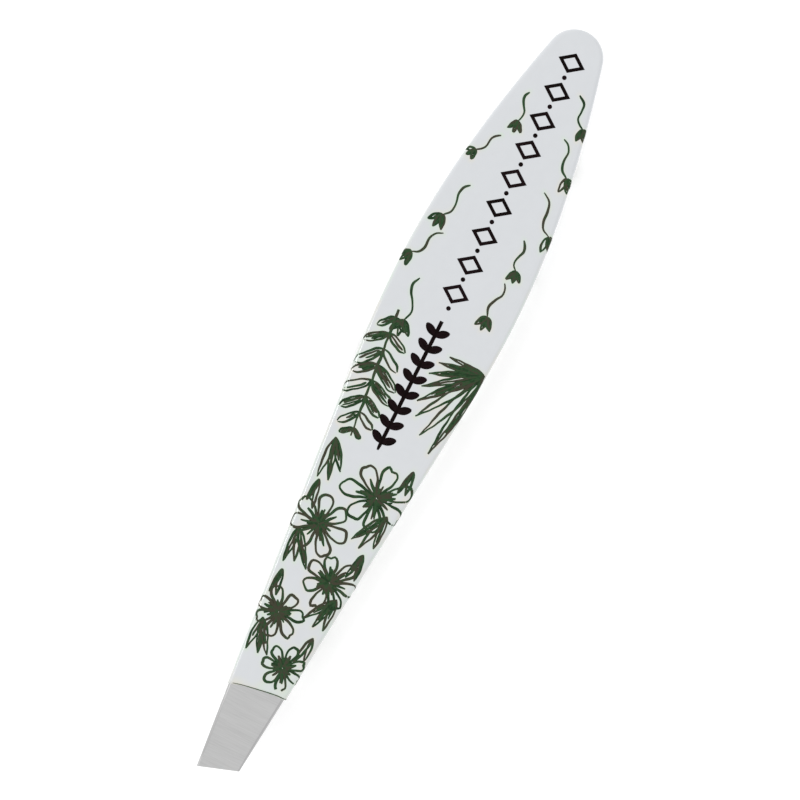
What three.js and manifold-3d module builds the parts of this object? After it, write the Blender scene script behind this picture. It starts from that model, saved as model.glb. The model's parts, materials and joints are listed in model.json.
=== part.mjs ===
// Slant tweezers: two stamped spring-steel arms, spot-welded face to face at the tail, each with a
// printed film wrapped over its outer face. The tweezers lie open on one arm, as put down on a table.
//
// Each arm is drawn lying along +X from the tail at s = 0, with t across it and z out of its inner
// face. It is drawn as it is when the tips meet, then opened about the bend in front of the weld.

import * as THREE from "three";
import { mergeVertices } from "three/addons/utils/BufferGeometryUtils.js";
import Module from "manifold-3d";

// Driving dimensions, in millimetres and degrees.
const tailRadius = 3.2;
const flankSlopeAtTail = 0.255;
const tipAt = 94.2; // middle of the slanted tip edge
const slantAngle = 19; // of the tip edge, from square across the arm
const slantStartsAt = 55; // the rungs of the arm turn from square here to the slant at the tip
const filmEndsAt = 84.5;
const jawStartsAt = 92.9; // the ground inner face that grips
const bendAt = 10; // front end of the welded stretch, where each arm starts to flex
const flexLength = 34;
const openAngle = 2.5; // of each arm, tips apart
const seam = 0.02; // hairline between the two arms where they meet
const edgeRadius = 0.35; // outer long edges
const innerChamfer = 0.12;
const adhesive = 0.02; // clear gap between film and steel
const filmThickness = 0.12;
const filmLip = 0.15; // height of the film's free edge over the arm's inner face
const weld = { radius: 1.5, flatRadius: 1.0, halfThickness: 0.45, clearance: 0.05 };
const weldsAt = { rear: 3.9, front: 7.4 };

// A smooth run of values along the arm, through knots of [place, value, slope].
function profile(knots) {
  const spans = knots.slice(1).map(([x1, y1, m1], i) => {
    const [x0, y0, m0] = knots[i];
    const third = (x1 - x0) / 3;
    return new THREE.CubicBezierCurve(
      new THREE.Vector2(x0, y0),
      new THREE.Vector2(x0 + third, y0 + m0 * third),
      new THREE.Vector2(x1 - third, y1 - m1 * third),
      new THREE.Vector2(x1, y1),
    );
  });
  return (x) => {
    const span = spans.find((c) => x <= c.v3.x) ?? spans.at(-1);
    return span.getPoint((x - span.v0.x) / (span.v3.x - span.v0.x)).y;
  };
}

const tailArc = Math.atan(1 / flankSlopeAtTail); // the tail's round end meets the flank here
const flankStart = [tailRadius * (1 - Math.cos(tailArc)), tailRadius * Math.sin(tailArc)];
const taper = { from: 47, half: 6.75, slope: -0.094 };
const halfWidth = profile([
  [...flankStart, flankSlopeAtTail],
  [33.5, 7.45, 0],
  [taper.from, taper.half, taper.slope],
  [tipAt, taper.half + taper.slope * (tipAt - taper.from), taper.slope],
]);
const innerHeight = profile([
  [0, 0, 0],
  [bendAt, 0, 0],
  [bendAt + 1, 0.06, 0.085],
  [44, 1.75, 0],
  [85, 1.05, -0.06],
  [jawStartsAt, 0, -0.19],
]);
const thickness = profile([
  [0, 1.1, 0],
  [83, 1.1, 0],
  [tipAt, 0.42, -0.075],
]);

const slant = Math.tan(THREE.MathUtils.degToRad(slantAngle));
const slantAt = (u) => slant * THREE.MathUtils.clamp((u - slantStartsAt) / (tipAt - slantStartsAt), 0, 1);

// The rungs of the arm, from the tail to uEnd. Each has its place u, a point on each flank, and the
// outward direction there, which turns from square to the flank to along the rung as the slant grows.
function rungs(uEnd) {
  const made = [];
  const arcSteps = 8;
  for (let i = 0; i <= arcSteps; i++) {
    const a = (tailArc * i) / arcSteps;
    const point = [tailRadius * (1 - Math.cos(a)), tailRadius * Math.sin(a)];
    const out = [-Math.cos(a), Math.sin(a)];
    made.push({ u: point[0], sides: [-1, 1].map((side) => side2d(point, out, side)) });
  }
  const spacing = 2.4;
  const steps = Math.round((uEnd - flankStart[0]) / spacing);
  const places = [bendAt, filmEndsAt, jawStartsAt, uEnd].filter((u) => u <= uEnd);
  for (let i = 1; i < steps; i++) places.push(flankStart[0] + ((uEnd - flankStart[0]) * i) / steps);
  const clear = (u) => !places.some((v) => v !== u && Math.abs(v - u) < 0.5 && places.indexOf(v) < places.indexOf(u));
  for (const u of places.filter(clear).sort((a, b) => a - b)) made.push(flankRung(u));
  return made;
}

const side2d = (point, out, side) => ({ s: point[0], t: side * point[1], out: [out[0], side * out[1]] });

function flankRung(u) {
  const k = slantAt(u);
  const ramp = k / slant;
  const slope = (halfWidth(u + 0.01) - halfWidth(u - 0.01)) / 0.02;
  return {
    u,
    sides: [-1, 1].map((side) => {
      const t = (side * halfWidth(u)) / (1 - side * Math.abs(taper.slope) * k * Math.sign(ramp));
      const square = new THREE.Vector2(-slope, side).normalize();
      const along = new THREE.Vector2(-side * k, side).normalize();
      const out = square.lerp(along, ramp).normalize();
      return { s: u - k * t, t, out: [out.x, out.y] };
    }),
  };
}

// Where a point of the arm drawn closed comes to lie when the arm is open.
function opened(s, t, z) {
  const w = THREE.MathUtils.smoothstep(s, bendAt, bendAt + flexLength);
  const a = THREE.MathUtils.degToRad(openAngle) * w;
  const x = s - bendAt;
  return [x * Math.cos(a) - z * Math.sin(a), t, x * Math.sin(a) + z * Math.cos(a)];
}

// Collects points and faces for one closed body.
class Skin {
  positions = [];
  faces = [];
  // A ring runs up one flank, round the tail and down the other, set out from the outline by offset
  // and at the height that height(u) gives.
  ring(stations, offset, height) {
    const point = ({ u }, { s, t, out }) => {
      const o = offset(u);
      this.positions.push(...opened(s + out[0] * o, t + out[1] * o, height(u)));
      return this.positions.length / 3 - 1;
    };
    const flank = (i) => stations.slice(1).map((rung) => point(rung, rung.sides[i]));
    return [...flank(1).reverse(), point(stations[0], stations[0].sides[0]), ...flank(0)];
  }
  quad(a, b, c, d) {
    this.faces.push(a, b, c, a, c, d);
  }
  // The wall between two rings.
  band(low, high) {
    for (let i = 0; i + 1 < low.length; i++) this.quad(low[i], low[i + 1], high[i + 1], high[i]);
  }
  // The face inside a ring, as a ladder of rungs.
  cap(ring, up) {
    const middle = (ring.length - 1) / 2;
    for (let i = 0; i < middle; i++) {
      const [a, b, c, d] = [ring[middle - i - 1], ring[middle - i], ring[middle + i], ring[middle + i + 1]];
      if (i === 0) this.faces.push(...(up ? [a, b, d] : [a, d, b]));
      else if (up) this.quad(a, b, c, d);
      else this.quad(d, c, b, a);
    }
  }
  geometry() {
    const made = new THREE.BufferGeometry();
    made.setAttribute("position", new THREE.Float32BufferAttribute(this.positions, 3));
    made.setIndex(this.faces);
    return made;
  }
}

const top = (u) => seam / 2 + innerHeight(Math.min(u, jawStartsAt)) + thickness(u);
const bottom = (u) => seam / 2 + innerHeight(Math.min(u, jawStartsAt));
const rounding = (u) => Math.min(edgeRadius, 0.5 * thickness(u));

// The rings of an outer face with rounded edges, standing off the steel by clear.
function outerRings(skin, stations, clear, lip) {
  const steps = 3;
  const rings = [skin.ring(stations, () => clear, (u) => bottom(u) + lip)];
  for (let i = 0; i <= steps; i++) {
    const a = (Math.PI / 2) * (i / steps);
    const offset = (u) => (rounding(u) + clear) * Math.cos(a) - rounding(u);
    const height = (u) => top(u) + (rounding(u) + clear) * Math.sin(a) - rounding(u);
    rings.push(skin.ring(stations, offset, height));
  }
  return rings;
}

function steelArm() {
  const skin = new Skin();
  const stations = rungs(tipAt);
  const rings = [
    skin.ring(stations, () => -innerChamfer, bottom),
    ...outerRings(skin, stations, 0, innerChamfer),
  ];
  rings.slice(1).forEach((ring, i) => skin.band(rings[i], ring));
  skin.cap(rings[0], false);
  skin.cap(rings.at(-1), true);
  rings.slice(1).forEach((high, i) => {
    const low = rings[i];
    skin.quad(low.at(-1), low[0], high[0], high.at(-1));
  });
  return skin.geometry();
}

function printedFilm() {
  const skin = new Skin();
  const stations = rungs(filmEndsAt);
  const outer = outerRings(skin, stations, adhesive + filmThickness, filmLip);
  const inner = outerRings(skin, stations, adhesive, filmLip);
  outer.slice(1).forEach((ring, i) => skin.band(outer[i], ring));
  inner.slice(1).forEach((ring, i) => skin.band(ring, inner[i]));
  skin.cap(outer.at(-1), true);
  skin.cap(inner.at(-1), false);
  skin.band(inner[0], outer[0]);
  for (let i = 0; i + 1 < outer.length; i++) {
    skin.quad(outer[i][0], outer[i + 1][0], inner[i + 1][0], inner[i][0]);
    skin.quad(inner[i].at(-1), inner[i + 1].at(-1), outer[i + 1].at(-1), outer[i].at(-1));
  }
  const [over, under] = [outer.at(-1), inner.at(-1)];
  skin.quad(under[0], over[0], over.at(-1), under.at(-1));
  return skin.geometry();
}

// The fused lens of one spot weld, half in each arm.
function weldLens(grow) {
  const { radius, flatRadius, halfThickness } = weld;
  const half = halfThickness + grow;
  const corners = [
    [0, -half],
    [flatRadius + grow, -half],
    [radius + grow, 0],
    [flatRadius + grow, half],
    [0, half],
  ];
  const made = new THREE.LatheGeometry(corners.map(([x, y]) => new THREE.Vector2(x, y)), 24);
  return made.rotateX(Math.PI / 2);
}

const wasm = await Module();
wasm.setup();

function solid(geometry) {
  const bare = geometry.clone();
  bare.deleteAttribute("normal");
  bare.deleteAttribute("uv");
  const merged = mergeVertices(bare, 1e-4);
  const vertProperties = merged.attributes.position.array;
  return new wasm.Manifold(new wasm.Mesh({ numProp: 3, vertProperties, triVerts: merged.index.array }));
}

function geometryOf(manifold) {
  const { vertProperties, triVerts } = manifold.getMesh();
  const made = new THREE.BufferGeometry();
  made.setAttribute("position", new THREE.BufferAttribute(vertProperties, 3));
  made.setIndex(new THREE.BufferAttribute(triVerts, 1));
  return made;
}

// The steel arm with the hollow that each weld fills.
function weldedArm() {
  const hollow = (s) => solid(weldLens(weld.clearance).translate(s - bendAt, 0, 0));
  const hollowed = Object.values(weldsAt).map(hollow);
  return geometryOf(hollowed.reduce((body, cut) => body.subtract(cut), solid(steelArm())));
}

const steel = new THREE.MeshStandardMaterial({ color: 0xbebebe, roughness: 0.38, metalness: 1 });
const film = new THREE.MeshStandardMaterial({ color: 0xdadbdf, roughness: 0.22, metalness: 0 });
const fused = new THREE.MeshStandardMaterial({ color: 0xa7a5a1, roughness: 0.55, metalness: 1 });

function named(name, geometry, material) {
  const mesh = new THREE.Mesh(geometry, material);
  mesh.name = name;
  return mesh;
}

// One side of the tweezers, about the axis that its arm flexes on.
function side(prefix) {
  const group = new THREE.Group();
  group.add(named(`${prefix}_arm`, weldedArm(), steel));
  group.add(named(`${prefix}_film`, printedFilm(), film));
  return group;
}

const flexAxis = new THREE.Group();
flexAxis.name = "flex_axis";
const lower = side("lower");
lower.scale.z = -1;
flexAxis.add(side("upper"), lower);
for (const [place, s] of Object.entries(weldsAt)) {
  const nugget = named(`${place}_weld_nugget`, weldLens(0), fused);
  nugget.position.x = s - bendAt;
  flexAxis.add(nugget);
}

// Laid on a table: the tail's lower edge and the belly of the lower arm both touch it.
function restTilt() {
  const points = lower.children.flatMap(({ geometry }) => {
    const at = geometry.attributes.position;
    return Array.from({ length: at.count }, (_, i) => ({ x: at.getX(i), down: at.getZ(i) }));
  });
  const middle = tipAt / 2 - bendAt;
  const slopeTo = (a, b) => (b.down - a.down) / (b.x - a.x);
  const tails = points.filter((p) => p.x < 0);
  const bellies = points.filter((p) => p.x > middle);
  const steepest = (tail) => Math.max(...bellies.map((belly) => slopeTo(tail, belly)));
  return Math.atan(Math.min(...tails.map(steepest)));
}

const tweezers = new THREE.Group();
flexAxis.rotation.y = -restTilt();
tweezers.add(flexAxis);
tweezers.updateMatrixWorld(true);
const box = new THREE.Box3().setFromObject(tweezers, true);
const middle = box.getCenter(new THREE.Vector3());
flexAxis.position.set(-middle.x, -middle.y, -box.min.z);

export default tweezers;
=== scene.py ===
import json
import math
import random

import bpy
import numpy as np
from mathutils import Matrix, Vector
from mathutils.kdtree import KDTree


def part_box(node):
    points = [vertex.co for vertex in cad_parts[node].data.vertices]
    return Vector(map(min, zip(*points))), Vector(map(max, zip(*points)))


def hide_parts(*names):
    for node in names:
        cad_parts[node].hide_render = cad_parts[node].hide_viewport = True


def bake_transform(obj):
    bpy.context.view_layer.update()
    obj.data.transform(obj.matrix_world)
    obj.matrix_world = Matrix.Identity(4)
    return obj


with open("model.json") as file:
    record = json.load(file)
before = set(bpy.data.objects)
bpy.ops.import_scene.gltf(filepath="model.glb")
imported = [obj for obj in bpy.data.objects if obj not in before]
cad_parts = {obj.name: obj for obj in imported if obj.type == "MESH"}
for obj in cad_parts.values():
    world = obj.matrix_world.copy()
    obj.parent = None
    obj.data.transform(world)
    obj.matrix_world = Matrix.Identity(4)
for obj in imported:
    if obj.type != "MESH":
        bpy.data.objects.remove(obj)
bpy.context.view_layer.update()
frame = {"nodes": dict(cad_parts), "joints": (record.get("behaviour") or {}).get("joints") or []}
mm = 0.001

# places and movement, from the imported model
joints = {joint["name"]: joint for joint in frame["joints"]}
flexPoint = Vector(joints["upper_flex"]["pos_m"])


def middleOf(node):
    low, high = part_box(node)
    return (low + high) / 2


# both welds lie on the plane between the arms, so they give its slope on the table
along = (middleOf("front_weld_nugget") - middleOf("rear_weld_nugget")).normalized()
across = Vector((0, 1, 0))
upward = along.cross(across)

# an arm as it is when the tips meet, in millimetres from the tail, and degrees
arm = {
    "tailRadius": 3.2,
    "flankSlopeAtTail": 0.255,
    "broadest": (33.5, 7.45),
    "taperFrom": (47, 6.75),
    "taperSlope": -0.094,
    "tipAt": 94.2,
    "slantAngle": 19,
    "slantStartsAt": 55,
    "jawStartsAt": 92.9,
    "bendAt": 10,
    "flexLength": 34,
    "openAngle": joints["upper_flex"]["range_deg"][1],
    "halfSeam": 0.01,
    "edgeRadius": 0.35,
    "innerEdge": 0.12,
    "crown": 0.008,  # how much lower the outer face is at its edges, per millimetre of half width
    "crownFadesIn": 6,
    "bowStart": (1, 0.06, 0.085),  # just past the bend: place, height of the inside and its slope
    "bowTop": (44, 1.75),
    "bowEnd": (85, 1.05, -0.06),
    "jawSlope": -0.19,
    "plate": 1.1,
    "plateThinsFrom": 83,
    "tipPlate": (0.42, -0.075),
    "rungSpacing": 0.5,
    "tailRungs": 22,
    "stepsAcross": 40,
    "edgeSteps": 6,
    "sharpAngle": 40,
}


def profile(*knots):
    # a smooth run through knots of place, value and slope
    places, values, slopes = np.array(knots, float).T

    def at(x):
        x = np.clip(np.asarray(x, float), places[0], places[-1])
        i = np.clip(np.searchsorted(places, x, side="right") - 1, 0, len(places) - 2)
        span = places[i + 1] - places[i]
        f = (x - places[i]) / span
        rise = (2 * f**3 - 3 * f**2 + 1) * values[i] + (3 * f**2 - 2 * f**3) * values[i + 1]
        lean = (f**3 - 2 * f**2 + f) * slopes[i] + (f**3 - f**2) * slopes[i + 1]
        return rise + span * lean

    return at


def smoothstep(x, start, end):
    f = np.clip((np.asarray(x, float) - start) / (end - start), 0, 1)
    return f * f * (3 - 2 * f)


tailArc = math.atan(1 / arm["flankSlopeAtTail"])
flankStart = (arm["tailRadius"] * (1 - math.cos(tailArc)), arm["tailRadius"] * math.sin(tailArc))
tipHalf = arm["taperFrom"][1] + arm["taperSlope"] * (arm["tipAt"] - arm["taperFrom"][0])
halfWidth = profile(
    (*flankStart, arm["flankSlopeAtTail"]),
    (*arm["broadest"], 0),
    (*arm["taperFrom"], arm["taperSlope"]),
    (arm["tipAt"], tipHalf, arm["taperSlope"]),
)
innerHeight = profile(
    (0, 0, 0),
    (arm["bendAt"], 0, 0),
    (arm["bendAt"] + arm["bowStart"][0], *arm["bowStart"][1:]),
    (*arm["bowTop"], 0),
    arm["bowEnd"],
    (arm["jawStartsAt"], 0, arm["jawSlope"]),
)
thickness = profile(
    (0, arm["plate"], 0), (arm["plateThinsFrom"], arm["plate"], 0), (arm["tipAt"], *arm["tipPlate"])
)
slant = math.tan(math.radians(arm["slantAngle"]))


def slantAt(u):
    reach = (u - arm["slantStartsAt"]) / (arm["tipAt"] - arm["slantStartsAt"])
    return slant * np.clip(reach, 0, 1)


def underside(u):
    return arm["halfSeam"] + innerHeight(np.minimum(u, arm["jawStartsAt"]))


def crown(u):
    return arm["crown"] * halfWidth(np.maximum(u, flankStart[0])) * smoothstep(u, 0, arm["crownFadesIn"])


def outside(u):
    # of the outer face, along its edges
    return underside(u) + thickness(u) - crown(u)


def rounding(u):
    return np.minimum(arm["edgeRadius"], 0.5 * thickness(u))


def placed(spots, side):
    # from the arm's own measure to its place on the table, side 1 for the upper, -1 for the lower
    s, t, z = np.array(spots, float).T
    bend = arm["bendAt"]
    turn = math.radians(arm["openAngle"]) * smoothstep(s, bend, bend + arm["flexLength"])
    run = (s - bend) * np.cos(turn) - z * np.sin(turn)
    rise = ((s - bend) * np.sin(turn) + z * np.cos(turn)) * side
    spread = np.outer(run, along) + np.outer(t, across) + np.outer(rise, upward)
    return spread * mm + np.array(flexPoint)


def rungs(uEnd, spacing):
    # from the tail's round end to uEnd, each with a point and an outward direction on both flanks
    rows = []
    for a in np.linspace(0, tailArc, arm["tailRungs"]):
        s, t = arm["tailRadius"] * (1 - math.cos(a)), arm["tailRadius"] * math.sin(a)
        rows.append((s, [(s, side * t, -math.cos(a), side * math.sin(a)) for side in (-1, 1)]))
    jaw = [arm["jawStartsAt"]] if uEnd > arm["jawStartsAt"] else []
    stops = [flankStart[0], arm["bendAt"], *jaw, uEnd]
    for start, end in zip(stops, stops[1:]):
        for u in np.linspace(start, end, max(2, round((end - start) / spacing) + 1))[1:]:
            rows.append((u, [flank(u, side) for side in (-1, 1)]))
    return rows


def flank(u, side):
    # the outline's point at u, and its outward direction
    lean, near = slantAt(u), 0.01
    slope = (halfWidth(u + near) - halfWidth(u - near)) / (2 * near)
    t = side * halfWidth(u) / (1 - side * abs(arm["taperSlope"]) * lean)
    square = Vector((-slope, side)).normalized()
    slanted = Vector((-side * lean, side)).normalized()
    out = square.lerp(slanted, lean / slant).normalized()
    return u - lean * t, t, out.x, out.y


def outerRings(clear, lip):
    # offset, height and distance round the edge from the flat face, from the lip up
    def ring(a):
        return (
            lambda u: (rounding(u) + clear) * math.cos(a) - rounding(u),
            lambda u: outside(u) - rounding(u) + (rounding(u) + clear) * math.sin(a),
            lambda u: (rounding(u) + clear) * (math.pi / 2 - a),
        )

    def wall(u):
        return (rounding(u) + clear) * math.pi / 2 + outside(u) - underside(u) - rounding(u) - lip

    foot = (lambda u: clear, lambda u: underside(u) + lip, wall)
    return [foot] + [ring(a) for a in np.linspace(0, math.pi / 2, arm["edgeSteps"] + 1)]


def innerRings():
    r = arm["innerEdge"]

    def ring(a):
        return lambda u: r * math.cos(a) - r, lambda u: underside(u) + r - r * math.sin(a), lambda u: 0

    return [ring(a) for a in (math.pi / 2, math.pi / 4)]


def shell(name, rows, rings, side, end=None, closed=False):
    # one side's skin: up the left flank, over the face and down the right one, row by row to the tip
    spots, prints, rim, faces = [], [], [], []
    last = rows[-1][0]
    steps = arm["stepsAcross"]

    def reach(u, v):
        # how far the piece's shaped end runs on, from -1 on the left flank to 1 on the right
        return float(smoothstep(u, last - film["endReach"], last) * (end(v) - last)) if end else 0

    def add(spot, flat, onRim):
        spots.append(spot)
        prints.append(flat)
        rim.append(onRim)
        return len(spots) - 1

    def chain(u, point):
        s, t, outS, outT = point
        on = reach(u, math.copysign(1, t))
        u, s = u + on, s + on
        edge = rings[-1][0](u)
        made = []
        for offset, height, beyond in rings:
            o, far = offset(u), edge + beyond(u)
            spot, flat = (s + outS * o, t + outT * o, height(u)), (s + outS * far, t + outT * far)
            made.append(add(spot, flat, len(made) not in (0, len(rings) - 1)))
        return made

    def face(u, points, ring, rise):
        ends = [np.array((s + outS * ring[0](u), t + outT * ring[0](u))) for s, t, outS, outT in points]
        made = []
        for v in np.linspace(-1, 1, steps + 1)[1:-1]:
            on = reach(u, v)
            s, t = ends[0] + (ends[1] - ends[0]) * (v + 1) / 2 + (on, 0)
            height = ring[1](u + on) + rise * crown(u) * (1 - v * v)
            made.append(add((s, t, height), (s, t), False))
        return made

    rowsMade = []
    for i, (u, points) in enumerate(rows):
        left = chain(u, points[0])
        if i == 0:
            rowsMade.append((left, left, [left[-1]] * (steps + 1), [left[0]] * (steps + 1)))
            continue
        top = face(u, points, rings[-1], 1)
        under = face(u, points, rings[0], 0) if closed else []
        right = chain(u, points[1])
        rowsMade.append((left, right, [left[-1], *top, right[-1]], [left[0], *under, right[0]]))

    def strip(low, high, flip=False):
        for a, b, c, d in zip(low, low[1:], high[1:], high):
            corners = [a, d, c, b] if not flip else [b, c, d, a]
            faces.append(list(dict.fromkeys(corners)))

    for (leftA, rightA, topA, underA), (leftB, rightB, topB, underB) in zip(rowsMade, rowsMade[1:]):
        strip(leftA, leftB)
        strip(topA, topB)
        strip(rightA[::-1], rightB[::-1])
        if closed:
            strip(underA, underB, flip=True)
    if closed:
        left, right, top, under = rowsMade[-1]
        faces.append(left[::-1])
        faces.append(right)
        faces.extend([a, b, c, d] for a, b, c, d in zip(under, under[1:], top[1:], top))
    if side < 0:
        faces = [corners[::-1] for corners in faces]

    made = bpy.data.meshes.new(name)
    made.from_pydata(placed(spots, side).tolist(), [], faces)
    layer = made.uv_layers.new(name="printMap")
    flat = np.array(prints, float)
    corner = np.zeros(len(made.loops), int)
    made.loops.foreach_get("vertex_index", corner)
    layer.data.foreach_set("uv", onMap(flat)[corner].astype(np.float32).ravel())
    # rim marks the rounded edges, which the steel's finish paints darker as shade
    made.attributes.new("rim", "FLOAT", "POINT").data.foreach_set("value", np.array(rim, np.float32))
    made.shade_smooth()
    made.set_sharp_from_angle(angle=math.radians(arm["sharpAngle"]))
    return bpy.data.objects.new(name, made), flat


# the map has the face laid out flat, with its middle line at one half
mapUnit = 100  # millimetres of film to one unit of its map


def onMap(flat):
    return np.asarray(flat, float) / mapUnit + (0, 0.5)


def settled(obj):
    # the object with its modifiers made real
    bpy.context.scene.collection.objects.link(obj)
    bpy.context.view_layer.update()
    seen = bpy.context.evaluated_depsgraph_get()
    real = bpy.data.meshes.new_from_object(obj.evaluated_get(seen), depsgraph=seen)
    obj.modifiers.clear()
    obj.data = real
    return obj


class Wire:
    # an output in a node tree; sums written with it add Math nodes
    def __init__(self, tree, socket=None):
        self.tree, self.socket = tree, socket

    def node(self, kind, settings=None, inputs=None, output=0):
        made = self.tree.nodes.new(kind)
        for name, value in (settings or {}).items():
            if name != "stops":
                setattr(made, name, value)
                continue
            stops = made.color_ramp.elements
            while len(stops) < len(value):
                stops.new(1)
            for stop, (place, colour) in zip(stops, value):
                stop.position, stop.color = place, colour
        for name, value in (inputs or {}).items():
            self.feed(made.inputs[name], value)
        return Wire(self.tree, made.outputs[output])

    def feed(self, target, value):
        if isinstance(value, Wire):
            self.tree.links.new(value.socket, target)
        else:
            target.default_value = value

    def sum(self, operation, first, second):
        return self.node("ShaderNodeMath", {"operation": operation}, {0: first, 1: second})

    def __add__(self, other):
        return self.sum("ADD", self, other)

    def __sub__(self, other):
        return self.sum("SUBTRACT", self, other)

    def __rsub__(self, other):
        return self.sum("SUBTRACT", other, self)

    def __mul__(self, other):
        return self.sum("MULTIPLY", self, other)

    __radd__, __rmul__ = __add__, __mul__

    def blend(self, first, second):
        # the first colour where this is 0, the second where it is 1
        return self.node(
            "ShaderNodeMix", {"data_type": "RGBA"}, {"Factor": self, 6: first, 7: second}, output=2
        )

    def noise(self, scale, detail=2, turned=0, stretch=(1, 1, 1)):
        # on the piece's own coordinates, in millimetres
        spot = self.node("ShaderNodeTexCoord", output="Object")
        size = tuple(scale / mm * part for part in stretch)
        place = {"Vector": spot, "Rotation": (0, 0, turned), "Scale": size}
        spot = self.node("ShaderNodeMapping", None, place)
        return self.node("ShaderNodeTexNoise", None, {"Vector": spot, "Scale": 1, "Detail": detail})

    def spread(self, low, high):
        # stretches a noise so that low becomes 0 and high becomes 1
        return self.node("ShaderNodeMapRange", None, {"Value": self, "From Min": low, "From Max": high})


def newMaterial(name, **fixed):
    made = bpy.data.materials.new(name)
    made.use_nodes = True
    shader = made.node_tree.nodes["Principled BSDF"]
    for socket, value in fixed.items():
        shader.inputs[socket.replace("_", " ")].default_value = value
    return made, Wire(made.node_tree), shader.inputs


steel = {
    "darker": (0.455, 0.455, 0.455, 1),
    "lighter": (0.53, 0.53, 0.53, 1),
    "rim": (0.4, 0.4, 0.4, 1),  # painted shade: the rounded edges darker, as they look turned from the light
    "linesPerMillimetre": 9,
    "bandsPerMillimetre": 1.1,
    "lean": math.radians(-20),  # of the brushing, from square across the arm
    "roughness": (0.46, 0.32),  # of the darkest and the lightest lines
    "lineDepth": 0.00002,
}


def brushedSteel():
    made, wire, sockets = newMaterial("brushedSteel", Metallic=1.0)
    lines, bands = steel["linesPerMillimetre"], steel["bandsPerMillimetre"]
    fine = wire.noise(lines, 3, steel["lean"], (1, 0.04, 0.1)).spread(0.3, 0.7)
    broad = wire.noise(bands, 2, steel["lean"], (1, 0.12, 0.3)).spread(0.3, 0.7)
    tone = fine * 0.7 + broad * 0.3
    # painted shade: the rounded edges, marked by rim, take the darker rim colour
    rim = wire.node("ShaderNodeAttribute", {"attribute_name": "rim"}, output="Fac")
    face = tone.blend(steel["darker"], steel["lighter"])
    wire.feed(sockets["Base Color"], rim.blend(face, steel["rim"]))
    rough, smooth = steel["roughness"]
    wire.feed(sockets["Roughness"], rough - tone * (rough - smooth))
    bump = {"Strength": 0.25, "Distance": steel["lineDepth"], "Height": fine}
    wire.feed(sockets["Normal"], wire.node("ShaderNodeBump", None, bump))
    return made


film = {
    "adhesive": 0.02,
    "thickness": 0.12,
    "lip": 0.15,
    "endsAt": 84.15,
    "endBow": 0.2,
    "endLean": 0.27,
    "endReach": 7,  # how far back the shaped end is drawn out from
    "rungSpacing": 0.4,
    "colour": (0.575, 0.592, 0.612, 1),
    "tint": (0.53, 0.63, 0.51, 1),
    "warmTint": (0.62, 0.6, 0.52, 1),
    "bleed": 0.3,  # how far the ink tints the film round it
    "edgeTint": 0.5,  # how much the film's long edges take the tint, towards the tip
    "edgeTintGrows": (20, 36),
    "endTint": 0.8,  # the same for the patches along its end
    "endBand": (1.1, 0.7),
}


def filmEnd(v):
    # where the film stops, from -1 on the left flank to 1 on the right
    v = np.clip(v, -1, 1)
    return film["endsAt"] + film["endBow"] * v**4 + film["endLean"] * v


def glossFilm():
    made, wire, sockets = newMaterial("glossFilm", IOR=1.5, Coat_Weight=0.3, Coat_Roughness=0.05)
    bleed = wire.node("ShaderNodeAttribute", {"attribute_name": "inkNear"}, output="Fac")
    mottle = wire.noise(0.9, 3).spread(0.35, 0.65)
    duller = (*(0.985 * part for part in film["colour"][:3]), 1)
    plain = mottle.blend(film["colour"], duller)
    tint = wire.noise(0.45, 2).spread(0.45, 0.62).blend(film["tint"], film["warmTint"])
    wire.feed(sockets["Base Color"], (bleed * (0.5 + mottle * 0.5)).blend(plain, tint))
    wire.feed(sockets["Roughness"], 0.15 + mottle * 0.04)
    ripple = {"Strength": 0.08, "Distance": 0.00002, "Height": wire.noise(0.5, 2)}
    wire.feed(sockets["Normal"], wire.node("ShaderNodeBump", None, ripple))
    return made


inks = {
    "green": {
        "tones": ((0.012, 0.034, 0.012, 1), (0.022, 0.062, 0.022, 1), (0.044, 0.042, 0.026, 1)),
        "gloss": 0.1,
    },
    "black": {
        "tones": ((0.003, 0.001, 0.001, 1), (0.005, 0.002, 0.002, 1), (0.008, 0.003, 0.004, 1)),
        "gloss": 0.04,
    },
}
toneStops = (0.36, 0.47, 0.58)


def inkMaterial(name):
    # three tones that drift into each other along the strokes
    made, wire, sockets = newMaterial(name + "Ink", Specular_IOR_Level=inks[name]["gloss"])
    tone = wire.node("ShaderNodeAttribute", {"attribute_name": "tone"}, output="Fac")
    drift = wire.noise(1.1, 3) * 0.45 + wire.noise(3.6, 2) * 0.3 + tone * 0.25
    stops = list(zip(toneStops, inks[name]["tones"]))
    wire.feed(sockets["Base Color"], wire.node("ShaderNodeValToRGB", {"stops": stops}, {"Fac": drift}))
    wire.feed(sockets["Roughness"], 0.26 + drift * 0.12)
    return made


weld = {
    "metal": (0.42, 0.41, 0.40, 1),
    "scorched": (0.27, 0.22, 0.18, 1),
    "pocketClear": 0.06,
    "pocketHalf": 0.52,  # half the pocket's height
    "pocketEnd": 0.68,  # its radius at its top and bottom, as a share
    "pocketSides": 32,
    "pocketTurn": 0.3,  # of a side, which keeps its corners off the arm's own mesh lines
}


def weldMetal():
    made, wire, sockets = newMaterial("weldMetal", Metallic=1.0)
    heat = wire.noise(1.6, 4).spread(0.35, 0.7)
    wire.feed(sockets["Base Color"], heat.blend(weld["metal"], weld["scorched"]))
    wire.feed(sockets["Roughness"], 0.42 + heat * 0.2)
    return made


steelFinish, filmFinish, weldFinish = brushedSteel(), glossFilm(), weldMetal()
inkFinish = {name: inkMaterial(name) for name in inks}
print("finishes made")

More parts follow.
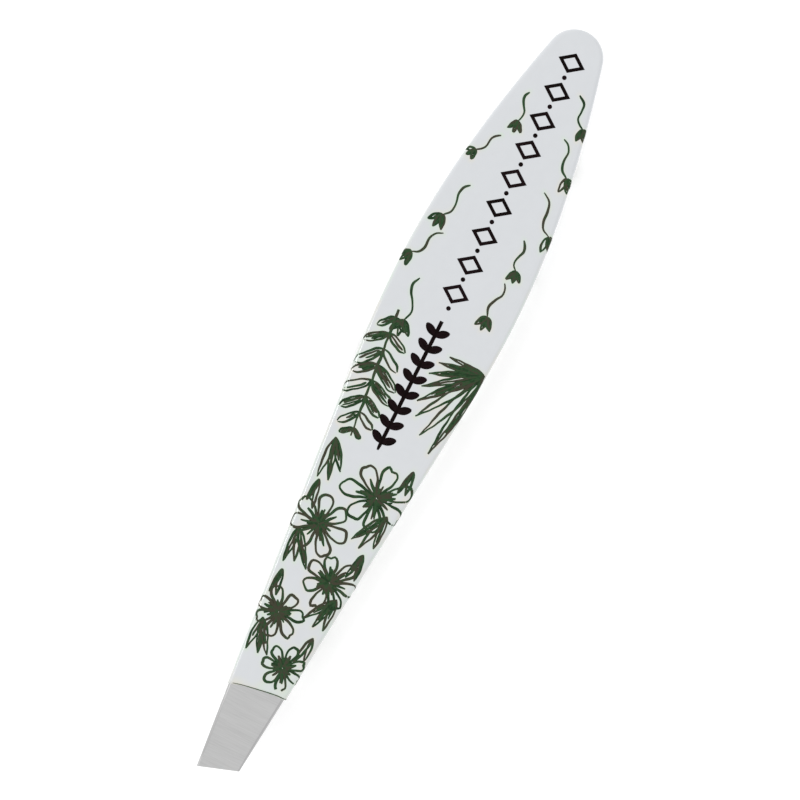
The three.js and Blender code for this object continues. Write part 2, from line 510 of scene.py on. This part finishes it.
# the print is pen strokes on the film laid out flat, in millimetres, swept and then pressed on
pen = {
    "seed": 11,
    "lowerSeed": 61,
    "pointSpacing": 0.25,
    "startsAt": 4,
    "endMargin": 0.55,  # bare film between the print and the film's end
    "wrap": 0.9,  # how far the print goes over the edge of the face
    "proud": 0.14,  # height of the ink over its half width
    "lift": 4e-6,  # metres between the lowest and the highest stroke, where they cross
    "nib": 0.94,  # every green line's width is this share of what the drawing asks for
    "pressure": 0.2,  # how much the pen's line swells and thins
    "finest": 0.5,  # width of a stroke's very end, as a share
}


class Sheet:
    # the strokes drawn for one film
    def __init__(self, seed, flip):
        self.chance = random.Random(seed)
        self.flip = flip  # the lower film's print runs the other way round
        self.strokes = {"green": [], "black": []}

    def line(self, points, width=0.28, taper=(0.2, 0.3), wobble=0.05, ink="green", whole=False):
        path = smoothed([(x, y * self.flip) for x, y in points])
        n = len(path)
        f = np.linspace(0, 1, n)
        run = f * n * pen["pointSpacing"]
        phase = self.chance.uniform(0, 20)
        if wobble:
            sway = np.sin(run * 2.1 + phase) * 0.6 + np.sin(run * 4.7 + phase * 2) * 0.4
            path = path + asideOf(path) * (sway * wobble)[:, None]
        press = 1 - (pen["pressure"] if wobble else 0) * np.sin(run * 1.3 + phase)
        start = np.clip(f / taper[0], 0, 1) if taper[0] else np.ones(n)
        end = np.clip((1 - f) / taper[1], 0, 1) if taper[1] else np.ones(n)
        nib = pen["nib"] if ink == "green" else 1
        half = width / 2 * nib * press * (pen["finest"] + (1 - pen["finest"]) * np.sqrt(start * end))
        self.strokes[ink].extend([(path, half, False)] if whole else cutToFilm(path, half))

    def dot(self, at, radius):
        x = np.cos(np.linspace(math.pi, 0, 9))
        path = np.column_stack((at[0] + radius * x, np.full(9, at[1])))
        self.strokes["black"].append((path, np.maximum(radius * np.sqrt(1 - x * x), 0.02), False))

    def lozenge(self, at, length, width, weight):
        # an open one with mitred corners
        corners = np.array([(length / 2, 0), (0, width / 2), (-length / 2, 0), (0, -width / 2)])
        sharp = math.atan2(length, width)
        path, half = [], []
        for k, corner in enumerate(corners):
            side = corners[(k + 1) % 4] - corner
            for f in np.arange(6) / 6:
                path.append(corner + side * f + at)
                half.append(weight / 2 / (1 if f else math.sin(sharp) if k % 2 else math.cos(sharp)))
        self.strokes["black"].append((np.array(path), np.array(half), True))


def asideOf(path):
    # unit steps to the left of a path, at each of its points
    aside = np.gradient(path, axis=0)[:, ::-1] * (-1, 1)
    return aside / np.maximum(np.linalg.norm(aside, axis=1), 1e-6)[:, None]


def smoothed(points):
    # a Catmull-Rom curve through the points, at even steps
    p = np.array(points, float)
    if len(p) == 2:
        p = np.array([p[0], (p[0] + p[1]) / 2, p[1]])
    p = np.vstack([2 * p[0] - p[1], p, 2 * p[-1] - p[-2]])
    made = [p[1]]
    for a, b, c, d in zip(p, p[1:], p[2:], p[3:]):
        steps = max(2, round(float(np.linalg.norm(c - b)) / pen["pointSpacing"]))
        for f in np.arange(1, steps + 1) / steps:
            square, cube = 2 * a - 5 * b + 4 * c - d, 3 * b - a - 3 * c + d
            made.append(0.5 * (2 * b + (c - a) * f + square * f**2 + cube * f**3))
    return np.array(made)


def cutToFilm(path, half):
    # the stretches of a stroke that lie on the film
    s, t = path.T
    u = s + slantAt(s) * t
    u = s + slantAt(u) * t
    end = filmEnd(t / halfWidth(u)) - pen["endMargin"]
    on = (u + half < end) & (np.abs(t) + half < halfWidth(u) + pen["wrap"]) & (s > pen["startsAt"])
    pieces, run = [], []
    for i, good in enumerate(on):
        if good:
            run.append(i)
        if (not good or i == len(on) - 1) and run:
            if len(run) > 1:
                pieces.append((path[run], half[run], False))
            run = []
    return pieces


def turned(at, heading, points):
    # from a motif's own axes, along its heading and to its left, to the face
    c, s = math.cos(heading), math.sin(heading)
    return [(at[0] + x * c - y * s, at[1] + x * s + y * c) for x, y in points]


def blade(sheet, at, degrees, length, width, fill=0.8, curl=0.0, weight=0.28, blunt=False):
    # a long leaf: both its sides, and pen lines along it that fill a share of its width
    heading = math.radians(degrees)
    count = max(2, round(width / 0.3))
    for k in range(count + 1):
        share = 2 * k / count - 1
        outline = k in (0, count)
        if not outline and sheet.chance.random() > fill:
            continue
        upTo = 1 if outline else sheet.chance.uniform(0.6, 0.97)
        start = 0 if outline else sheet.chance.uniform(0, 0.2)
        path = []
        for x in np.linspace(start, upTo, 6):
            belly = math.sin(math.pi * x**0.8)
            if blunt:
                belly = min(1, 4 * x) * min(1, 6 * (1.02 - x))
            path.append((length * x, share * width / 2 * belly + curl * length * x * x))
        thick = weight * (1 if outline else sheet.chance.uniform(0.9, 1.4))
        sheet.line(turned(at, heading, path), thick, (0.1, 0.25), 0.04)


def frond(sheet):
    # leaflets in pairs along a curved rib
    heading, length, curve = math.radians(fern["turn"]), fern["length"], fern["curve"]
    rib = [(length * x, curve * length * x * x) for x in np.linspace(0, 1, 6)]
    sheet.line(turned(fern["foot"], heading, rib), 0.36, (0, 0.4))
    for k in range(fern["pairs"]):
        x = (k + 0.5) / fern["pairs"]
        foot = turned(fern["foot"], heading, [(length * x, curve * length * x * x)])[0]
        turn = fern["turn"] + math.degrees(math.atan(2 * curve * x))
        for side in (-1, 1):
            size = fern["leaflet"] * math.sin(math.pi * (0.18 + 0.7 * x)) * sheet.chance.uniform(0.85, 1.12)
            angle = turn + side * (fern["lean"] + sheet.chance.uniform(-7, 7))
            blade(sheet, foot, angle, size, size * 0.26, fern["fill"], side * 0.05, 0.28, True)


def petal(sheet, at, degrees, length, width, veins=1, weight=0.27, ruffle=0.06):
    # out along one side, round a wavy rim and back to the heart
    rim = [1 + sheet.chance.uniform(-ruffle, ruffle) for _ in range(3)]
    outline = [
        (0.02, 0.03), (0.3, 0.24), (0.62, 0.47), (0.84, 0.5), (0.97 * rim[0], 0.3),
        (0.98 * rim[1], 0.02), (1.0 * rim[2], -0.28), (0.85, -0.5), (0.6, -0.46),
        (0.32, -0.25), (0.03, -0.04),
    ]
    heading = math.radians(degrees)
    outline = turned(at, heading, [(x * length, y * width) for x, y in outline])
    sheet.line(outline, weight, (0.05, 0.1), 0.05)
    for k in range(veins):
        y = width * 0.3 * ((k + 0.5) / veins - 0.5)
        upTo = length * sheet.chance.uniform(0.4, 0.7)
        sheet.line(turned(at, heading, [(length * 0.06, y * 0.2), (upTo, y)]), weight * 1.2, (0, 0.5))


def heart(sheet, at, radius, count, weight=0.42):
    # the scribbled middle of a flower
    for _ in range(count):
        heading = math.radians(360 * sheet.chance.random())
        near, far = radius * sheet.chance.uniform(0, 0.3), radius * sheet.chance.uniform(0.45, 1)
        bend = sheet.chance.uniform(-0.15, 0.15) * far
        path = turned(at, heading, [(near, 0), ((near + far) / 2, bend), (far, 0)])
        sheet.line(path, weight * sheet.chance.uniform(0.7, 1.15), (0.1, 0.3), 0.04)


border = {
    "lozenges": 9,
    "firstAt": 3.9,
    "pitch": 3.72,
    "lozenge": (2.0, 2.7, 0.4),  # along, across and the weight of its line
    "dot": 0.27,
    "sprig": (37.2, 53.6),
    "stem": 0.46,
    "leafPairs": 8,
    "firstPairAt": 39.0,
    "pairPitch": 1.95,
    "leaf": (1.7, 0.3, 0.36),  # length, belly and the weight of its lines
    "leafTurn": math.radians(122),
}


def ornament(sheet):
    # plain black border down the middle: open lozenges and dots, then a heavier sprig of leaf pairs
    for k in range(border["lozenges"]):
        x = border["firstAt"] + border["pitch"] * k
        sheet.lozenge((x, 0), *border["lozenge"])
        sheet.dot((x + border["pitch"] / 2, 0), border["dot"])
    sheet.line([(x, 0) for x in border["sprig"]], border["stem"], (0, 0.06), 0, "black")
    length, belly, weight = border["leaf"]
    for k in range(border["leafPairs"]):
        foot = (border["firstPairAt"] + border["pairPitch"] * k, 0)
        for side in (-1, 1):
            for share in (-1, -0.5, 0, 0.5, 1):
                path = [(length * f, share * belly * math.sin(math.pi * f)) for f in np.linspace(0, 1, 5)]
                leaf = turned(foot, side * border["leafTurn"], path)
                sheet.line(leaf, weight, (0.05, 0.2), 0, "black")


fan = {
    "hub": (40.6, 7.2),
    "blades": 8,
    "turns": (-92, -8),  # headings of the first and the last blade, in degrees, with even steps between
    "lengths": (4.6, 11.0),
    "widths": (0.4, 1.1),
    "fill": 0.75,
}


def palm(sheet):
    # a plain fan of blades from one foot, longer and broader towards the tip
    spans = (fan["turns"], fan["lengths"], fan["widths"])
    for share in np.linspace(0, 1, fan["blades"]):
        turn, length, width = (a + (b - a) * share for a, b in spans)
        turn += sheet.chance.uniform(-2, 2)
        curl = sheet.chance.uniform(-0.03, 0.03)
        blade(sheet, fan["hub"], turn, length, width, fan["fill"], curl)


def sprig(sheet, at, degrees, length, side):
    # a wavy stem with three small leaves at its end
    heading = math.radians(degrees)
    stem = [(length * x, side * 0.1 * length * math.sin(math.tau * x)) for x in np.linspace(0, 1, 7)]
    sheet.line(turned(at, heading, stem), 0.3)
    tip = turned(at, heading, [(length, 0)])[0]
    for lean in (-34, 0, 34):
        blade(sheet, tip, degrees + lean, 0.4 * length, 0.12 * length, 0.9, 0, 0.3)


def flower(sheet, at, petals, length):
    # an open flower with even petals round a scribbled middle
    first = sheet.chance.uniform(0, 360)
    for k in range(petals):
        turn = first + 360 * k / petals + sheet.chance.uniform(-5, 5)
        petal(sheet, at, turn, length * sheet.chance.uniform(0.9, 1.08), 0.44 * length, 1 + k % 2, 0.32)
    heart(sheet, at, 0.34 * length, 18)
    heart(sheet, at, 0.6 * length, 8, weight=0.34)


def tuft(sheet, at, degrees, length, count):
    # long leaves from one foot, at even steps
    for k in range(count):
        lean = 17 * (k - (count - 1) / 2) + sheet.chance.uniform(-2, 2)
        blade(sheet, at, degrees + lean, length * sheet.chance.uniform(0.85, 1.1), 0.15 * length, 0.6)


growth = {
    "sprigs": 5,  # on each side of the border, those on the left half a step on
    "sprigsFrom": 6.4,
    "sprigPitch": 6.0,
    "sprigLength": 4.0,
    "sprigPlace": 0.6,  # of the way from the middle line to the long edge
    "flowers": 5,  # in front of the border, on the right and the left by turns
    "flowersFrom": 58.6,
    "flowerPitch": 5.5,
    "flowerPlace": 0.42,
    "flowerLength": 0.7,  # of the half width there
    "petals": 7,
    "tuftPlace": 0.86,
    "tuftLength": 4.6,
}

fern = {
    "foot": (38.2, -5.0),
    "turn": 6,
    "length": 15.4,
    "curve": -0.005,
    "pairs": 8,
    "lean": 50,  # of the leaflets from the rib, in degrees
    "leaflet": 3.6,
    "fill": 0.8,
}


def drawPrint(seed, flip):
    sheet = Sheet(seed, flip)
    ornament(sheet)

    # small sprigs along both sides of the border
    for k in range(growth["sprigs"]):
        for side, later in ((1, 0), (-1, 0.5)):
            s = growth["sprigsFrom"] + growth["sprigPitch"] * (k + later + sheet.chance.uniform(-0.1, 0.1))
            at = (s, side * growth["sprigPlace"] * float(halfWidth(s)))
            length = growth["sprigLength"] * sheet.chance.uniform(0.8, 1.4)
            sprig(sheet, at, side * 14 + sheet.chance.uniform(-22, 22), length, side)

    # a palm leaf on the right of the border's end and a fern on its left
    palm(sheet)
    frond(sheet)

    # flowers, each with a tuft of long leaves across from it and one behind it
    for k in range(growth["flowers"]):
        side = -1 if k % 2 else 1
        s = growth["flowersFrom"] + growth["flowerPitch"] * k
        half = float(halfWidth(s))
        tuft(sheet, (s - 4.2, -side * growth["tuftPlace"] * half), side * 16, growth["tuftLength"], 3)
        tuft(sheet, (s - 4.6, side * growth["tuftPlace"] * half), -side * 4, 0.7 * growth["tuftLength"], 2)
        at = (s, side * growth["flowerPlace"] * half)
        flower(sheet, at, growth["petals"], growth["flowerLength"] * half)

    # painted shadow: a dark ink line just inside the film's cut end, standing in for the shade its edge
    # casts, darker towards its right end
    cut = []
    for t in np.linspace(-2.8, 4.1, 22):
        u = filmEnd(t / halfWidth(film["endsAt"])) - 0.1
        cut.append((float(u - slantAt(u) * t), float(t * flip)))
    sheet.line(cut, 0.13, (0.8, 0), 0, whole=True)
    return sheet


def strokeObject(strokes):
    # centre lines laid out flat, each point with its half width and its stroke's own tone and lift
    spots, edges, half, tone = [], [], [], []
    for k, (path, widths, closed) in enumerate(strokes):
        first = len(spots)
        spots.extend((x * mm, y * mm, 0) for x, y in path)
        edges.extend((first + i, first + i + 1) for i in range(len(path) - 1))
        if closed:
            edges.append((len(spots) - 1, first))
        half.extend(widths * mm)
        tone.extend([k * 0.618 % 1] * len(path))
    made = bpy.data.meshes.new("strokes")
    made.from_pydata(spots, edges, [])
    for name, values in (("half", half), ("tone", tone)):
        layer = made.attributes.new(name, "FLOAT", "POINT")
        layer.data.foreach_set("value", np.array(values, np.float32))
    return bpy.data.objects.new("strokes", made)


def pressTree():
    # sweeps each stroke as a flat ribbon, then presses it onto the film through the film's map
    tree = bpy.data.node_groups.new("pressInk", "GeometryNodeTree")
    inputs = (
        ("Strokes", "Geometry"), ("Film", "Object"), ("Proud", "Float"), ("Lift", "Float"),
        ("Ink", "Material"),
    )
    for name, kind in inputs:
        tree.interface.new_socket(name, in_out="INPUT", socket_type="NodeSocket" + kind)
    tree.interface.new_socket("Print", in_out="OUTPUT", socket_type="NodeSocketGeometry")
    wire = Wire(tree)
    group = tree.nodes.new("NodeGroupInput").outputs
    given = {name: Wire(tree, group[name]) for name, _ in inputs}

    def attribute(name, kind="FLOAT"):
        return wire.node("GeometryNodeInputNamedAttribute", {"data_type": kind}, {"Name": name})

    section = wire.node("GeometryNodeCurvePrimitiveCircle", None, {"Resolution": 6, "Radius": 1.0})
    lines = wire.node("GeometryNodeMeshToCurve", None, {"Mesh": given["Strokes"]})
    lines = wire.node("GeometryNodeSetCurveNormal", {"mode": "Z_UP"}, {"Curve": lines})
    sweep = {"Curve": lines, "Profile Curve": section, "Scale": attribute("half"), "Fill Caps": True}
    ribbon = wire.node("GeometryNodeCurveToMesh", None, sweep)
    spot = wire.node("GeometryNodeInputPosition")
    parts = wire.node("ShaderNodeSeparateXYZ", None, {"Vector": spot})
    x, y, z = (Wire(tree, part) for part in parts.socket.node.outputs)
    rise = z * given["Proud"] + attribute("tone") * given["Lift"]
    toMap = 1 / mm / mapUnit
    at = {"X": x * toMap, "Y": y * toMap + 0.5}
    place = wire.node("ShaderNodeCombineXYZ", None, at)
    asIs = {"transform_space": "ORIGINAL"}
    shown = wire.node("GeometryNodeObjectInfo", asIs, {"Object": given["Film"]}, "Geometry")

    def onFilm(value):
        layout = attribute("printMap", "FLOAT_VECTOR")
        look = {"Mesh": shown, "Value": value, "UV Map": layout, "Sample UV": place}
        return wire.node("GeometryNodeSampleUVSurface", {"data_type": "FLOAT_VECTOR"}, look)

    outward = onFilm(wire.node("GeometryNodeInputNormal"))
    shift = wire.node("ShaderNodeVectorMath", {"operation": "SCALE"}, {0: outward, "Scale": rise})
    where = wire.node("ShaderNodeVectorMath", {"operation": "ADD"}, {0: onFilm(spot), 1: shift})
    pressed = wire.node("GeometryNodeSetPosition", None, {"Geometry": ribbon, "Position": where})
    pressed = wire.node("GeometryNodeRealizeInstances", None, {"Geometry": pressed})
    pressed = wire.node("GeometryNodeSetMaterial", None, {"Geometry": pressed, "Material": given["Ink"]})
    made = tree.nodes.new("NodeGroupOutput")
    wire.feed(made.inputs["Print"], pressed)
    return tree


def withNodes(obj, tree, **values):
    # adds the tree to the object, with its inputs set by their identifiers
    made = obj.modifiers.new(tree.name, "NODES")
    made.node_group = tree
    for item in tree.interface.items_tree:
        if item.in_out == "INPUT" and item.name in values:
            made[item.identifier] = values[item.name]
    return obj


def bending(obj, node=None):
    # bakes the piece's place into its mesh, and hides the imported part it stands in for
    end = flexPoint + along * arm["flexLength"] * mm
    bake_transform(obj)
    if node:
        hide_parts(node)
    return obj


def pocket(node):
    # a drum with narrower ends round a weld, to cut its room out of an arm
    low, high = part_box(node)
    wide = (high.x - low.x) / 2 + weld["pocketClear"] * mm
    sides = weld["pocketSides"]
    corners, faces = [], [list(range(sides - 1, -1, -1)), list(range(2 * sides, 3 * sides))]
    for level, share in ((-1, weld["pocketEnd"]), (0, 1), (1, weld["pocketEnd"])):
        for k in range(sides):
            a = math.tau * (k + weld["pocketTurn"]) / sides
            out = (along * math.cos(a) + across * math.sin(a)) * wide * share
            corners.append(middleOf(node) + out + upward * weld["pocketHalf"] * mm * level)
    for ring in (0, sides):
        for k in range(sides):
            n = (k + 1) % sides
            faces.append([ring + k, ring + n, ring + sides + n, ring + sides + k])
    made = bpy.data.meshes.new("pocket")
    made.from_pydata(corners, [], faces)
    tool = bpy.data.objects.new("pocket", made)
    bpy.context.scene.collection.objects.link(tool)
    return tool


def hollowed(obj, nodes):
    # the object, settled, with room in it for the welds
    tools = [pocket(node) for node in nodes]
    for tool in tools:
        cut = obj.modifiers.new("cut", "BOOLEAN")
        cut.operation, cut.solver, cut.object = "DIFFERENCE", "EXACT", tool
    settled(obj)
    for tool in tools:
        bpy.data.objects.remove(tool)
    return obj


def coated(obj, finish):
    obj.data.materials.clear()
    obj.data.materials.append(finish)
    return obj


def tintNear(strokes, flat):
    # how much the film is tinted at each of its points: near green ink, along its edges and at its end
    near = KDTree(sum(len(path) for path, *_ in strokes))
    for path, *_ in strokes:
        for x, y in path:
            near.insert((x, y, 0), 0)
    near.balance()
    away = np.array([near.find((x, y, 0))[2] for x, y in flat])
    s, t = flat.T
    u = s + slantAt(s) * t
    edge = smoothstep(np.abs(t) - halfWidth(u), -0.35, 0.1) * smoothstep(s, *film["edgeTintGrows"])
    start, full = film["endBand"]
    band = smoothstep(u, film["endsAt"] - start, film["endsAt"] - full)
    patches = 0.5 + 0.5 * np.sin(2.4 * t + 0.9)
    rest = np.maximum(film["edgeTint"] * edge, film["endTint"] * band * patches)
    return np.maximum(np.exp(-((away / film["bleed"]) ** 2)), rest)


armRows = rungs(arm["tipAt"], arm["rungSpacing"])
filmRows = rungs(film["endsAt"], film["rungSpacing"])
press = pressTree()

welds = ("rear_weld_nugget", "front_weld_nugget")
skin = film["adhesive"] + film["thickness"]

for side, sign in (("upper", 1), ("lower", -1)):
    rings = innerRings() + outerRings(0, arm["innerEdge"])
    body, _ = shell(side + "Arm", armRows, rings, sign, closed=True)
    coated(hollowed(body, welds), steelFinish)
    bending(body, side + "_arm")

    wrap, flat = shell(side + "Film", filmRows, outerRings(skin, film["lip"]), sign, filmEnd)
    drawn = drawPrint(pen["seed"] if sign > 0 else pen["lowerSeed"], sign)
    tint = wrap.data.attributes.new("inkNear", "FLOAT", "POINT")
    tint.data.foreach_set("value", tintNear(drawn.strokes["green"], flat).astype(np.float32))

    bpy.context.scene.collection.objects.link(wrap)
    for name, strokes in drawn.strokes.items():
        lines = strokeObject(strokes)
        withNodes(lines, press, Film=wrap, Proud=pen["proud"], Lift=pen["lift"], Ink=inkFinish[name])
        printed = settled(lines)
        printed.name = side + name.capitalize() + "Print"
        if sign < 0:
            printed.data.flip_normals()  # the lower film's map is mirrored
        if min(spot.co.length for spot in printed.data.vertices) < 0.1 * mm:
            raise ValueError(printed.name + " runs off the film")
        bending(printed)
        print(printed.name, len(strokes), "strokes", len(printed.data.polygons), "faces")
    bpy.context.scene.collection.objects.unlink(wrap)

    sheet = wrap.modifiers.new("thickness", "SOLIDIFY")
    sheet.thickness, sheet.offset, sheet.use_even_offset = film["thickness"] * mm, -1, True
    coated(settled(wrap), filmFinish)
    bending(wrap, side + "_film")
    print(side, "side made")

for node in welds:
    for slot in frame["nodes"][node].material_slots:
        slot.material = weldFinish

studio = {
    "floor": (0.8, 0.8, 0.8, 1),
    "floorGlow": 0.35,  # light through the table from below
    "floorHalf": 3.0,
    "sky": 1.07,
    "lampAt": (0.0, -0.7, 0.55),
    "lampSize": 0.3,
    "lampWatts": 1.6,
    "lensMillimetres": 200,
    "sensorMillimetres": 36,
    "viewWidth": 91.9,  # millimetres of the tweezers' own plane that the camera takes in
    "middle": (47.21, -0.25),  # the spot on the arm that it looks at
    "roll": math.radians(26.68),  # of the tweezers, from upright
}

ground = bpy.data.meshes.new("table")
half = studio["floorHalf"]
corners = [(-half, -half, 0), (half, -half, 0), (half, half, 0), (-half, half, 0)]
ground.from_pydata(corners, [], [(0, 1, 2, 3)])
table = bpy.data.objects.new("table", ground)
bpy.context.scene.collection.objects.link(table)
white = (1, 1, 1, 1)
glow = {"Emission_Color": white, "Emission_Strength": studio["floorGlow"]}
tableFinish, *_ = newMaterial("tableTop", Roughness=0.8, Base_Color=studio["floor"], **glow)
ground.materials.append(tableFinish)

world = bpy.data.worlds.new("studio")
bpy.context.scene.world = world
world.use_nodes = True
sky = world.node_tree.nodes["Background"].inputs
sky["Color"].default_value, sky["Strength"].default_value = white, studio["sky"]

lamp = bpy.data.lights.new("leftSoftbox", "AREA")
lamp.shape, lamp.size, lamp.energy = "DISK", studio["lampSize"], studio["lampWatts"]
softbox = bpy.data.objects.new("leftSoftbox", lamp)
softbox.location = studio["lampAt"]
softbox.rotation_mode = "QUATERNION"
softbox.rotation_quaternion = (-Vector(studio["lampAt"])).to_track_quat("-Z", "Y")
bpy.context.scene.collection.objects.link(softbox)

lens = bpy.data.cameras.new("camera")
lens.lens, lens.sensor_width = studio["lensMillimetres"], studio["sensorMillimetres"]
lens.clip_start, lens.clip_end = 0.01, 20
camera = bpy.data.objects.new("camera", lens)
bpy.context.scene.collection.objects.link(camera)
bpy.context.scene.camera = camera
c, s = math.cos(studio["roll"]), math.sin(studio["roll"])
right = along * -s + across * c
up = along * -c - across * s
ahead, aside = studio["middle"]
target = flexPoint + (along * (ahead - arm["bendAt"]) + across * aside) * mm
distance = studio["viewWidth"] * mm * lens.lens / lens.sensor_width
turn = Matrix((right, up, upward)).transposed().to_4x4()
camera.matrix_world = Matrix.Translation(target + upward * distance) @ turn

bpy.context.scene.view_settings.view_transform = "Standard"
bpy.context.scene.view_settings.look = "None"
bpy.context.view_layer.update()
